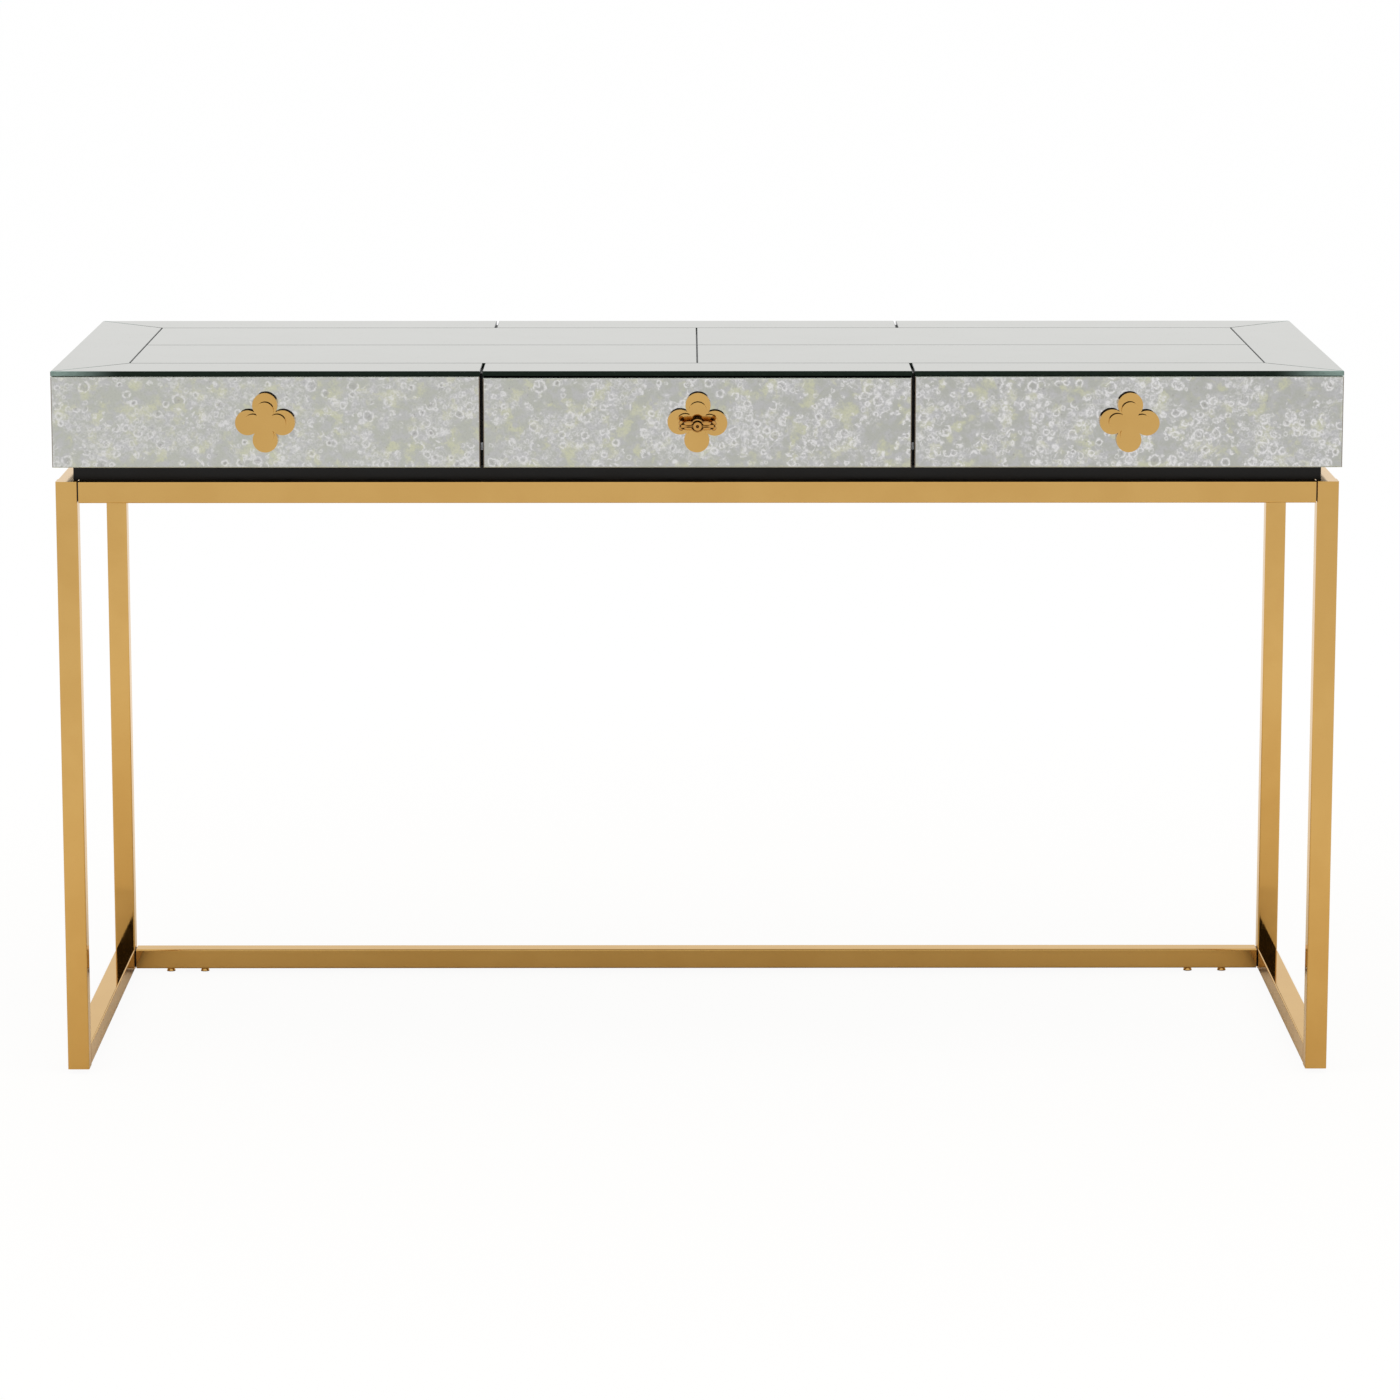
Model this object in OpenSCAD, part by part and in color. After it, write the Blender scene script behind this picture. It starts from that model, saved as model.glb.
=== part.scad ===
// Mirror-clad dressing table: a shallow case with three drawers on a polished tube frame.
// Millimetres. +Z is up, the floor is z = 0 and the drawer fronts face -Y.
// The origin lies on the floor, under the middle of the whole outline.

/* [Overall size] */
// Width of the case over its mirrored ends
case_w = 1372; // [1100:1:1700]
// Depth of the case, front glass to back board
case_d = 508; // [420:1:640]
// Height of the top glass above the floor
table_h = 767; // [630:1:930]
// Height of the case with its top glass
case_h = 103; // [96:1:140]

/* [Glass] */
// Thickness of the top glass
top_glass_t = 5; // [4:0.5:8]
// Thickness of the glass on the fronts and ends
clad_glass_t = 5; // [3:0.5:6]
// Width of the polished arris along the edges of the fronts and ends
clad_arris = 1; // [0.4:0.1:1.5]
// Width of the polished arris along the edges of the top panes
top_arris = 0.6; // [0.3:0.1:1.2]
// Width of the border panes round the top
border_w = 76; // [50:1:100]
// Width of the seams between the top panes
seam = 0.8; // [0.4:0.1:1.5]
// Width of the wider seams that part the border in line with the drawer gaps
border_seam = 2.6; // [0.8:0.1:4]

/* [Case] */
// Thickness of the top board
top_board_t = 16; // [12:1:22]
// Thickness of the bottom board
bottom_board_t = 12; // [9:1:18]
// Thickness of the side boards and dividers
side_board_t = 16; // [12:1:20]
// Thickness of the back board
back_board_t = 12; // [6:1:18]
// Height of the recessed plinth between case and frame
plinth_h = 15.5; // [8:0.5:30]
// How far the plinth sits back from the case all round
plinth_inset = 20; // [10:1:40]

/* [Drawers] */
// Gap between neighbouring drawer fronts
front_gap = 3.5; // [2:0.1:6]
// Gap between the outer drawer fronts and the top glass
outer_top_gap = 0.8; // [0.5:0.1:3]
// Gap between the middle drawer front and the top glass
middle_top_gap = 2.4; // [1:0.1:4]
// Gap between a closed drawer front and the case behind it
seat_gap = 1; // [0.5:0.1:2]
// Thickness of the board behind each mirrored front
front_board_t = 18; // [14:1:22]
// Height of the drawer box sides
box_h = 52; // [40:1:55]
// Thickness of the drawer box sides and back
box_side_t = 12; // [9:1:15]
// Thickness of the drawer bottom panel
box_bottom_t = 5; // [3:0.5:8]
// Depth of the grooves that hold the drawer bottom
groove_depth = 5; // [3:0.5:6]
// Room under the drawer box
box_clear = 5; // [3:1:8]

/* [Drawer slides] */
// Space for one slide between drawer box and case
slide_w = 12.5; // [11:0.5:15]
// Height of the slide's outer channel
slide_h = 35; // [27:1:40]
// Sheet thickness of the slide members
slide_sheet = 1.2; // [1:0.1:1.6]
// Running clearance between the two slide members
slide_clear = 0.6; // [0.3:0.1:1]

/* [Knobs and key] */
// Overall width of the large quatrefoil plate
knob_w = 63.5; // [50:0.5:80]
// Lobe radius of the large quatrefoil plate
knob_lobe_r = 13.3; // [12.5:0.1:14.5]
// Thickness of the large quatrefoil plate
knob_t = 8; // [4:0.5:12]
// Overall width of the small quatrefoil
cap_w = 44.5; // [36:0.5:48]
// Lobe radius of the small quatrefoil
cap_lobe_r = 9.4; // [9:0.1:10.5]
// Thickness of the small quatrefoil
cap_t = 5; // [3:0.5:10]
// Turn of the middle and right knobs on their studs, in degrees
knob_turn = 2; // [0:0.5:5]
// Diameter of the stud that holds a knob
stud_d = 12; // [10:0.5:14]
// Diameter of the key's shaft
key_shaft_d = 5; // [4:0.1:6]
// Radial running clearance of the key
key_clear = 0.08; // [0.03:0.01:0.1]
// Distance of the key's bow in front of the knob
key_reach = 28; // [20:0.5:36]
// Width across the key's bow
bow_w = 40; // [34:0.5:46]
// Height of the key's bow at its end beads
bow_h = 10.5; // [9:0.25:12]

/* [Lock] */
// Width of the lock case
lock_w = 52; // [44:1:60]
// Depth of the lock case behind the drawer front
lock_d = 14; // [12:0.5:18]
// Room between the top of the lock case and the top board
lock_top_clear = 2.5; // [1.5:0.5:4]
// Distance of the lock case's lower edge below the key
lock_below_key = 17; // [14:1:18]
// Wall thickness of the lock case
lock_wall = 1.5; // [1:0.1:2]
// Width of the lock bolt
bolt_w = 14; // [10:1:18]
// Thickness of the lock bolt
bolt_t = 4; // [3:0.5:5]
// How far the key lifts the bolt in a quarter turn
bolt_throw = 9; // [7:0.5:10]
// Reach of the key's bit from its axis
bit_reach = 10; // [8:0.5:10]

/* [Frame] */
// Outside size of the square frame tube
tube = 23; // [19:0.5:32]
// Wall thickness of the frame tube
tube_wall = 1.5; // [1:0.1:3]
// Outside edge radius of the frame tube
tube_round = 1.6; // [0.5:0.1:3]
// How far the frame stands in from the case outline
frame_inset = 2.5; // [0:0.5:10]
// Open joint between the cross rails and the legs
joint_gap = 1.2; // [0.5:0.1:2]
// Height of the glides under the frame
glide_h = 5; // [3:0.5:12]
// Diameter of a glide at the floor
glide_d = 10; // [8:0.5:18]
// Distance from a leg to the first glide
glide_first = 41; // [25:1:60]
// Distance between the two glides of a pair
glide_pitch = 40; // [20:1:60]
// Length of the stubs on the legs that the cross rails slip over
stub_len = 70; // [40:1:120]

/* [Hidden] */
$fn = 96;

LEFT = -1;
MIDDLE = 0;
RIGHT = 1;

BRASS = [0.78, 0.60, 0.32];
MIRROR = [0.74, 0.75, 0.72];
TOP_MIRROR = [0.83, 0.85, 0.84];
BLACK = [0.12, 0.11, 0.10];
BIRCH = [0.80, 0.68, 0.50];
STEEL = [0.70, 0.71, 0.73];

// Small overlap that makes a cut pass right through a face
cut = 0.5;

// Depth: the knobs and the key stand in front of the case
key_out = knob_t + cap_t + key_reach;
outline_d = case_d + key_out;
y_glass = key_out - outline_d / 2;
y_back = y_glass + case_d;
y_board = y_glass + clad_glass_t;
y_front_back = y_board + front_board_t;
y_case = y_front_back + seat_gap;
y_bay_back = y_back - back_board_t;

// Height
z_top = table_h;
z_boards_top = z_top - top_glass_t;
z_case = z_top - case_h;
z_frame_top = z_case - plinth_h;
z_frame = glide_h;
z_bay = z_case + bottom_board_t;
z_bay_top = z_boards_top - top_board_t;
z_knob = (z_case + z_boards_top) / 2;

// Width
half_w = case_w / 2;
x_side = half_w - clad_glass_t;
x_bay_end = x_side - side_board_t;
front_w = (case_w - 2 * front_gap) / 3;
x_divider = (front_w + front_gap) / 2;

// Top panes: the field inside the border, and half a seam across and along a mitre
y_field = y_glass + border_w;
y_field_back = y_back - border_w;
x_field = half_w - border_w;
half_seam = seam / 2;
mitre_slip = half_seam * sqrt(2);

// Frame
x_leg = half_w - frame_inset - tube;
y_leg_front = y_glass + frame_inset;
y_leg_rear = y_back - frame_inset - tube;
cap_plate_t = 2;
stub_clear = 0.2;
stub = tube - 2 * tube_wall - 2 * stub_clear;
screw_d = 5;
screw_clear = 0.25;
screw_head_d = 9;
screw_head_t = 2.2;
shank_d = 6;
shank_len = 12;
shank_clear = 0.05;

// Drawer boxes
box_z = z_bay + box_clear;
bottom_lift = 6;
groove_clear = 0.15;
slide_stock_step = 50;
slide_end_room = 10;
slide_len = slide_stock_step * floor((y_bay_back - y_case - slide_end_room) / slide_stock_step);
slide_z = box_z + (box_h - slide_h) / 2;
lip = 2.5;

// Knobs and lock
stud_clear = 0.3;
cusp_fill = 0.62;
lock_top = z_bay_top - lock_top_clear;
lock_bottom = z_knob - lock_below_key;
lock_y = y_front_back;
bolt_y = lock_y + lock_d / 2;
bolt_rest_gap = 3.8;
bolt_bottom = z_knob + bolt_rest_gap;
bolt_top = lock_top - 0.2;
bolt_slot_clear = 1;
strike_t = 1.5;
strike_w = bolt_w + 26;
strike_d = lock_d;
key_collar_d = 11;
key_collar_t = 3;
key_collar_gap = 0.4;
key_end = lock_y + lock_d - lock_wall - 1;
bit_t = 2;
bit_w = 5;
bead_r = bow_h / 3.8;
bead_row = 0.9 * bead_r;
bead_sink = 1;
bow_ring_r = 4.6;
bow_wire_r = 1.7;
bow_depth = 2 * (bow_ring_r + bow_wire_r);
bow_plate_t = 3;
boss_d = 9;
boss_dimple_d = 3.4;
boss_dimple_depth = 1.2;
boss_ring_r = 5.9;
boss_wire_r = 1.2;

function bay(side) =
    side == LEFT ? [-x_bay_end, -x_divider - side_board_t / 2] :
    side == RIGHT ? [x_divider + side_board_t / 2, x_bay_end] :
    [-x_divider + side_board_t / 2, x_divider - side_board_t / 2];

function box_x(side) = [bay(side)[0] + slide_w, bay(side)[1] - slide_w];

function front_x(side) = side * (front_w + front_gap);

function front_top(side) = z_boards_top - (side == MIDDLE ? middle_top_gap : outer_top_gap);

function knob_angle(side) = side == LEFT ? 0 : -knob_turn;

// A box given by its two corners
module block(low, high) {
    translate(low) cube(high - low);
}

// A bar laid along an edge, which cuts its arris
module arris_bar(start, end, width) {
    run = end - start;
    translate([start[0], start[1], 0])
        rotate([0, 0, atan2(run[1], run[0])])
            translate([norm(run) / 2, 0, 0])
                rotate([45, 0, 0])
                    cube([norm(run) + 4 * width, width * sqrt(2), width * sqrt(2)], center = true);
}

// A flat pane lying on z = 0 with an arris round its upper face
module pane(points, thickness, arris) {
    count = len(points);
    difference() {
        linear_extrude(thickness) polygon(points);
        for (i = [0 : count - 1])
            translate([0, 0, thickness])
                arris_bar(points[i], points[(i + 1) % count], arris);
    }
}

function rectangle(x0, y0, x1, y1) = [[x0, y0], [x1, y0], [x1, y1], [x0, y1]];

// A pane standing upright with its polished face towards -Y at y
module front_pane(x0, x1, z0, z1, y, thickness) {
    translate([0, y + thickness, 0])
        rotate([90, 0, 0])
            pane(rectangle(x0, z0, x1, z1), thickness, clad_arris);
}

// A pane standing on an end of the case, polished face outwards
module end_pane(side, x_face, y0, y1, z0, z1, thickness) {
    translate([side * (x_face - thickness), 0, 0])
        mirror([side < 0 ? 1 : 0, 0, 0])
            rotate([90, 0, 90])
                pane(rectangle(y0, z0, y1, z1), thickness, clad_arris);
}

// Section of the frame tube, its corner at the origin
module tube_section() {
    r = tube_round;
    difference() {
        union() {
            translate([r, 0]) square([tube - 2 * r, tube]);
            translate([0, r]) square([tube, tube - 2 * r]);
            for (x = [r, tube - r], y = [r, tube - r])
                translate([x, y]) circle(r);
        }
        translate([tube_wall, tube_wall]) square(tube - 2 * tube_wall);
    }
}

// A length of tube along +Z, its ends closed by plates where it has any
module tube_bar(length, plate_t) {
    room = tube - 2 * tube_wall;
    linear_extrude(length) tube_section();
    if (plate_t > 0)
        for (z = [0, length - plate_t])
            translate([tube_wall, tube_wall, z]) cube([room, room, plate_t]);
}

module tube_along_x(x0, x1, y, z, plate_t) {
    translate([x0, y, z])
        rotate([90, 0, 90])
            tube_bar(x1 - x0, plate_t);
}

module tube_along_y(x, y0, y1, z, plate_t) {
    translate([x, y1, z])
        rotate([90, 0, 0])
            tube_bar(y1 - y0, plate_t);
}

module leg(side, rear) {
    color(BRASS)
        translate([side == LEFT ? -x_leg - tube : x_leg, rear ? y_leg_rear : y_leg_front, z_frame])
            tube_bar(z_frame_top - z_frame, cap_plate_t);
}

module side_rail(side, z) {
    x = side == LEFT ? -x_leg - tube : x_leg;
    tube_along_y(x, y_leg_front + tube, y_leg_rear, z, cap_plate_t);
}

// A tube between two legs, open at its ends, with screw holes in the wall at screw_side
module cross_rail(y, z, screw_side) {
    x = x_leg - joint_gap;
    difference() {
        tube_along_x(-x, x, y, z, 0);
        rail_screws(y, z, screw_side, screw_d + 2 * screw_clear, 0, tube_wall + cut);
    }
}

// Round shapes at a cross rail's screw places, from its outer face inwards
module rail_screws(y, z, screw_side, d, d_head, depth) {
    y_face = screw_side < 0 ? y : y + tube;
    for (side = [LEFT, RIGHT], share = [0.3, 0.75])
        translate([side * (x_leg - share * stub_len), y_face, z + tube / 2])
            rotate([screw_side < 0 ? -90 : 90, 0, 0])
                union() {
                    translate([0, 0, -cut]) cylinder(d = d, h = depth + cut);
                    if (d_head > 0)
                        translate([0, 0, -screw_head_t]) cylinder(d = d_head, h = screw_head_t);
                }
}

module leg_front_left() { leg(LEFT, false); }
module leg_front_right() { leg(RIGHT, false); }
module leg_rear_left() { leg(LEFT, true); }
module leg_rear_right() { leg(RIGHT, true); }
module side_rail_left() { color(BRASS) side_rail(LEFT, z_frame_top - tube); }
module side_rail_right() { color(BRASS) side_rail(RIGHT, z_frame_top - tube); }

module floor_runner(side) {
    color(BRASS)
        difference() {
            side_rail(side, z_frame);
            for (step = [0, 1]) runner_glide_place(side, step) shank_hole();
        }
}

module floor_runner_left() { floor_runner(LEFT); }
module floor_runner_right() { floor_runner(RIGHT); }

// The screws face the knee space under the case, and the wall behind the stretcher
module front_rail() { color(BRASS) cross_rail(y_leg_front, z_frame_top - tube, 1); }
module rear_rail() { color(BRASS) cross_rail(y_leg_rear, z_frame_top - tube, -1); }

module rear_stretcher() {
    color(BRASS)
        difference() {
            cross_rail(y_leg_rear, z_frame, 1);
            for (side = [LEFT, RIGHT], step = [0, 1])
                stretcher_glide_place(side, step) shank_hole();
        }
}

// Square stubs on the legs, inside the ends of the three cross rails
module rail_stubs() {
    margin = tube_wall + stub_clear;
    color(STEEL)
        for (place = [[y_leg_front, z_frame_top - tube, 1], [y_leg_rear, z_frame_top - tube, -1],
                      [y_leg_rear, z_frame, 1]])
            difference() {
                for (side = [LEFT, RIGHT])
                    translate([side == LEFT ? -x_leg : x_leg - stub_len,
                               place[0] + margin, place[1] + margin])
                        cube([stub_len, stub, stub]);
                rail_screws(place[0], place[1], place[2], screw_d, 0, tube / 2);
                if (place[1] == z_frame)
                    for (side = [LEFT, RIGHT], step = [0, 1])
                        stretcher_glide_place(side, step) shank_hole();
            }
}

module frame_screws() {
    depth = tube / 2 - 1;
    color(BRASS) {
        rail_screws(y_leg_front, z_frame_top - tube, 1, screw_d, screw_head_d, depth);
        rail_screws(y_leg_rear, z_frame_top - tube, -1, screw_d, screw_head_d, depth);
        rail_screws(y_leg_rear, z_frame, 1, screw_d, screw_head_d, depth);
    }
}

module stretcher_glide_place(side, step) {
    translate([side * (x_leg - glide_first - step * glide_pitch), y_leg_rear + tube / 2, 0])
        children();
}

module runner_glide_place(side, step) {
    translate([side * (x_leg + tube / 2),
               y_leg_front + tube + glide_first + step * glide_pitch, 0])
        children();
}

module shank_hole() {
    cylinder(d = shank_d + 2 * shank_clear, h = glide_h + shank_len + cut);
}

// A flared push-in glide with its shank inside the tube
module glide() {
    neck_d = 0.76 * glide_d;
    rim_t = 0.8;
    cylinder(d = glide_d, h = rim_t);
    translate([0, 0, rim_t]) cylinder(d1 = glide_d, d2 = neck_d, h = glide_h - rim_t);
    cylinder(d = shank_d, h = glide_h + shank_len);
}

module glides() {
    color(BRASS)
        for (side = [LEFT, RIGHT], step = [0, 1]) {
            stretcher_glide_place(side, step) glide();
            runner_glide_place(side, step) glide();
        }
}

module plinth() {
    color(BLACK)
        block([-half_w + plinth_inset, y_glass + plinth_inset, z_frame_top],
              [half_w - plinth_inset, y_back - plinth_inset, z_case]);
}

module bottom_board() {
    color(BLACK)
        block([-x_side, y_case, z_case], [x_side, y_back, z_bay]);
}

module top_board() {
    color(BLACK)
        difference() {
            block([-x_side, y_case, z_bay_top], [x_side, y_back, z_boards_top]);
            block([-strike_w / 2, bolt_y - strike_d / 2, z_bay_top - cut],
                  [strike_w / 2, bolt_y + strike_d / 2, z_bay_top + strike_t]);
            bolt_pocket(z_bay_top - cut, z_bay_top + bolt_throw);
        }
}

module bolt_pocket(z0, z1) {
    block([-bolt_w / 2 - bolt_slot_clear, bolt_y - bolt_t / 2 - bolt_slot_clear, z0],
          [bolt_w / 2 + bolt_slot_clear, bolt_y + bolt_t / 2 + bolt_slot_clear, z1]);
}

module side_board(side) {
    x = side == LEFT ? -x_side : x_bay_end;
    color(BLACK)
        block([x, y_case, z_bay], [x + side_board_t, y_bay_back, z_bay_top]);
}

module side_board_left() { side_board(LEFT); }
module side_board_right() { side_board(RIGHT); }

module back_board() {
    color(BLACK)
        block([-x_side, y_bay_back, z_bay], [x_side, y_back, z_bay_top]);
}

module divider(side) {
    x = side * x_divider - side_board_t / 2;
    color(BLACK)
        block([x, y_case, z_bay], [x + side_board_t, y_bay_back, z_bay_top]);
}

module divider_left() { divider(LEFT); }
module divider_right() { divider(RIGHT); }

// Nickel buttons on the divider edges that the drawer fronts close against
module front_bumpers() {
    bumper_d = 8;
    bumper_z = z_case + 20;
    color(STEEL)
        for (side = [LEFT, RIGHT])
            translate([side * x_divider, y_case, bumper_z])
                rotate([90, 0, 0])
                    cylinder(d = bumper_d, h = 0.7 * seat_gap);
}

// One pane of the top glass, from the corners of its outline
module top_pane(points) {
    color(TOP_MIRROR)
        translate([0, 0, z_boards_top]) pane(points, top_glass_t, top_arris);
}

module top_end(side) {
    top_pane([
        [side * half_w, y_glass + mitre_slip],
        [side * half_w, y_back - mitre_slip],
        [side * (x_field + half_seam), y_field_back + half_seam - mitre_slip],
        [side * (x_field + half_seam), y_field - half_seam + mitre_slip]
    ]);
}

module top_end_left() { top_end(LEFT); }
module top_end_right() { top_end(RIGHT); }

// Corner pane of the front (back = false) or rear border
module top_corner_pane(side, back) {
    y_out = back ? y_back : y_glass;
    y_in = back ? y_field_back + half_seam : y_field - half_seam;
    top_pane([
        [side * (half_w - mitre_slip), y_out],
        [side * (x_field - mitre_slip + half_seam), y_in],
        [side * (x_divider + border_seam / 2), y_in],
        [side * (x_divider + border_seam / 2), y_out]
    ]);
}

module top_middle_pane(y0, y1) {
    x = x_divider - border_seam / 2;
    top_pane(rectangle(-x, y0, x, y1));
}

module top_front_left() { top_corner_pane(LEFT, false); }
module top_front_right() { top_corner_pane(RIGHT, false); }
module top_front_middle() { top_middle_pane(y_glass, y_field - half_seam); }
module top_rear_left() { top_corner_pane(LEFT, true); }
module top_rear_right() { top_corner_pane(RIGHT, true); }
module top_rear_middle() { top_middle_pane(y_field_back + half_seam, y_back); }

module top_field_panes() {
    y_mid = (y_field + y_field_back) / 2;
    for (x = [[-x_field + half_seam, -half_seam], [half_seam, x_field - half_seam]])
        for (y = [[y_field + half_seam, y_mid - half_seam], [y_mid + half_seam, y_field_back - half_seam]])
            top_pane(rectangle(x[0], y[0], x[1], y[1]));
}

module side_mirror(side) {
    color(MIRROR)
        end_pane(side, half_w, y_case, y_back, z_case, z_boards_top, clad_glass_t);
}

module side_mirror_left() { side_mirror(LEFT); }
module side_mirror_right() { side_mirror(RIGHT); }

// One slide member in section, its web on x = 0 and its flanges towards +X
module channel_section(height, reach, lip_in) {
    difference() {
        square([reach, height]);
        translate([slide_sheet, slide_sheet]) square([reach, height - 2 * slide_sheet]);
    }
    translate([reach - slide_sheet, 0]) square([slide_sheet, slide_sheet + lip_in]);
    translate([reach - slide_sheet, height - slide_sheet - lip_in])
        square([slide_sheet, slide_sheet + lip_in]);
}

// Outer channel, screwed to the case: reaches across most of the slide space
module outer_member(length) {
    rotate([90, 0, 0])
        linear_extrude(length)
            channel_section(slide_h, slide_w - slide_sheet - slide_clear, lip);
}

// Inner member: a foot inside the outer channel and a web against the drawer box
module inner_member(length) {
    room = slide_sheet + slide_clear;
    reach = slide_w - room;
    rail_h = slide_h - 2 * room;
    neck_h = slide_h - 2 * (slide_sheet + lip + slide_clear);
    outer_reach = slide_w - slide_sheet - slide_clear;
    head_t = 2 * slide_sheet;
    rotate([90, 0, 0])
        linear_extrude(length) {
            translate([room, room]) square([head_t, rail_h]);
            translate([room, (slide_h - neck_h) / 2]) square([reach - slide_sheet, slide_sheet]);
            translate([room, (slide_h + neck_h) / 2 - slide_sheet])
                square([reach - slide_sheet, slide_sheet]);
            translate([outer_reach + slide_clear, (slide_h - neck_h) / 2])
                square([slide_sheet, neck_h]);
        }
}

// Places a slide member at each end of a drawer's bay
module both_slides(side) {
    for (end = [0, 1])
        translate([bay(side)[end], y_case + slide_len, slide_z])
            mirror([end, 0, 0])
                children();
}

module cabinet_slides() {
    color(STEEL)
        for (side = [LEFT, MIDDLE, RIGHT])
            both_slides(side) outer_member(slide_len);
}

module drawer_slides(side) {
    color(STEEL) both_slides(side) inner_member(slide_len + seat_gap);
}

// Board behind the mirror, with a groove for the bottom panel and a hole for the knob
module drawer_front(side) {
    x = front_x(side);
    return_t = side == MIDDLE ? 0 : clad_glass_t;
    x0 = x - front_w / 2 + (side == LEFT ? return_t : 0);
    x1 = x + front_w / 2 - (side == RIGHT ? return_t : 0);
    box = box_x(side);
    color(BLACK)
        difference() {
            block([x0, y_board, z_case], [x1, y_front_back, front_top(side)]);
            block([box[0] + box_side_t - groove_depth, y_front_back - groove_depth, groove_z()],
                  [box[1] - box_side_t + groove_depth, y_front_back + cut, groove_top()]);
            stud_hole(side);
        }
}

function groove_z() = box_z + bottom_lift - groove_clear;

function groove_top() = box_z + bottom_lift + box_bottom_t + groove_clear;

module stud_hole(side) {
    translate([front_x(side), y_glass - cut, z_knob])
        rotate([-90, 0, 0])
            cylinder(d = stud_d + 2 * stud_clear, h = clad_glass_t + front_board_t + 2 * cut);
}

// Mirrored front, and on the outer drawers the narrow pane round the corner
module drawer_mirror(side) {
    x = front_x(side);
    color(MIRROR) {
        difference() {
            front_pane(x - front_w / 2, x + front_w / 2, z_case, front_top(side),
                       y_glass, clad_glass_t);
            stud_hole(side);
        }
        if (side != MIDDLE)
            end_pane(side, half_w, y_board, y_front_back, z_case, front_top(side),
                     clad_glass_t);
    }
}

// Plan of a quatrefoil: four lobes round a filled centre
module quatrefoil(width, lobe_r) {
    offset_r = width / 2 - lobe_r;
    for (a = [0 : 90 : 270])
        rotate(a) translate([offset_r, 0]) circle(lobe_r);
    rotate(45) square(2 * cusp_fill * offset_r + lobe_r / 2, center = true);
}

module knob(side) {
    color(BRASS)
        translate([front_x(side), y_glass, z_knob])
            rotate([90, 0, 0])
                difference() {
                    union() {
                        rotate(knob_angle(side)) {
                            linear_extrude(knob_t) quatrefoil(knob_w, knob_lobe_r);
                            linear_extrude(knob_t + cap_t) quatrefoil(cap_w, cap_lobe_r);
                        }
                        translate([0, 0, -clad_glass_t - front_board_t])
                            cylinder(d = stud_d, h = clad_glass_t + front_board_t + cut);
                    }
                    if (side == MIDDLE)
                        translate([0, 0, -clad_glass_t - front_board_t - cut])
                            cylinder(d = key_shaft_d + 2 * key_clear, h = 2 * key_out + 100);
                }
}

module drawer_sides(side) {
    box = box_x(side);
    y_end = y_case + slide_len;
    color(BIRCH)
        for (x0 = [box[0], box[1] - box_side_t])
            difference() {
                block([x0, y_front_back, box_z], [x0 + box_side_t, y_end, box_z + box_h]);
                block([box[0] + box_side_t - groove_depth, y_front_back - cut, groove_z()],
                      [box[1] - box_side_t + groove_depth, y_end + cut, groove_top()]);
            }
}

module drawer_back(side) {
    box = box_x(side);
    y_end = y_case + slide_len;
    color(BIRCH)
        block([box[0] + box_side_t, y_end - box_side_t, groove_top()],
              [box[1] - box_side_t, y_end, box_z + box_h]);
}

module drawer_bottom(side) {
    box = box_x(side);
    reach = box_side_t - groove_depth + groove_clear;
    color(BIRCH)
        block([box[0] + reach, y_front_back - groove_depth + groove_clear, box_z + bottom_lift],
              [box[1] - reach, y_case + slide_len, box_z + bottom_lift + box_bottom_t]);
}

module drawer_left_front() { drawer_front(LEFT); }
module drawer_left_mirror() { drawer_mirror(LEFT); }
module drawer_left_knob() { knob(LEFT); }
module drawer_left_sides() { drawer_sides(LEFT); }
module drawer_left_back() { drawer_back(LEFT); }
module drawer_left_bottom() { drawer_bottom(LEFT); }
module drawer_left_slides() { drawer_slides(LEFT); }
module drawer_middle_front() { drawer_front(MIDDLE); }
module drawer_middle_mirror() { drawer_mirror(MIDDLE); }
module drawer_middle_knob() { knob(MIDDLE); }
module drawer_middle_sides() { drawer_sides(MIDDLE); }
module drawer_middle_back() { drawer_back(MIDDLE); }
module drawer_middle_bottom() { drawer_bottom(MIDDLE); }
module drawer_middle_slides() { drawer_slides(MIDDLE); }
module drawer_right_front() { drawer_front(RIGHT); }
module drawer_right_mirror() { drawer_mirror(RIGHT); }
module drawer_right_knob() { knob(RIGHT); }
module drawer_right_sides() { drawer_sides(RIGHT); }
module drawer_right_back() { drawer_back(RIGHT); }
module drawer_right_bottom() { drawer_bottom(RIGHT); }
module drawer_right_slides() { drawer_slides(RIGHT); }

// Hollow lock case with a keyhole in front and the bolt's slot on top
module lock_case() {
    color(BRASS)
        difference() {
            block([-lock_w / 2, lock_y, lock_bottom], [lock_w / 2, lock_y + lock_d, lock_top]);
            block([-lock_w / 2 + lock_wall, lock_y + lock_wall, lock_bottom + lock_wall],
                  [lock_w / 2 - lock_wall, lock_y + lock_d - lock_wall, lock_top - lock_wall]);
            translate([0, lock_y - cut, z_knob])
                rotate([-90, 0, 0])
                    cylinder(d = key_shaft_d + 2 * key_clear, h = lock_wall + 2 * cut);
            bolt_pocket(lock_top - lock_wall - cut, lock_top + cut);
        }
}

module lock_bolt() {
    color(BRASS)
        block([-bolt_w / 2, bolt_y - bolt_t / 2, bolt_bottom],
              [bolt_w / 2, bolt_y + bolt_t / 2, bolt_top]);
}

module lock_strike() {
    color(BRASS)
        difference() {
            block([-strike_w / 2, bolt_y - strike_d / 2, z_bay_top],
                  [strike_w / 2, bolt_y + strike_d / 2, z_bay_top + strike_t]);
            bolt_pocket(z_bay_top - cut, z_bay_top + strike_t + cut);
        }
}

// Ring of round wire, lying flat
module wire_ring(ring_r, wire_r) {
    rotate_extrude()
        translate([ring_r, 0]) circle(wire_r);
}

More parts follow.
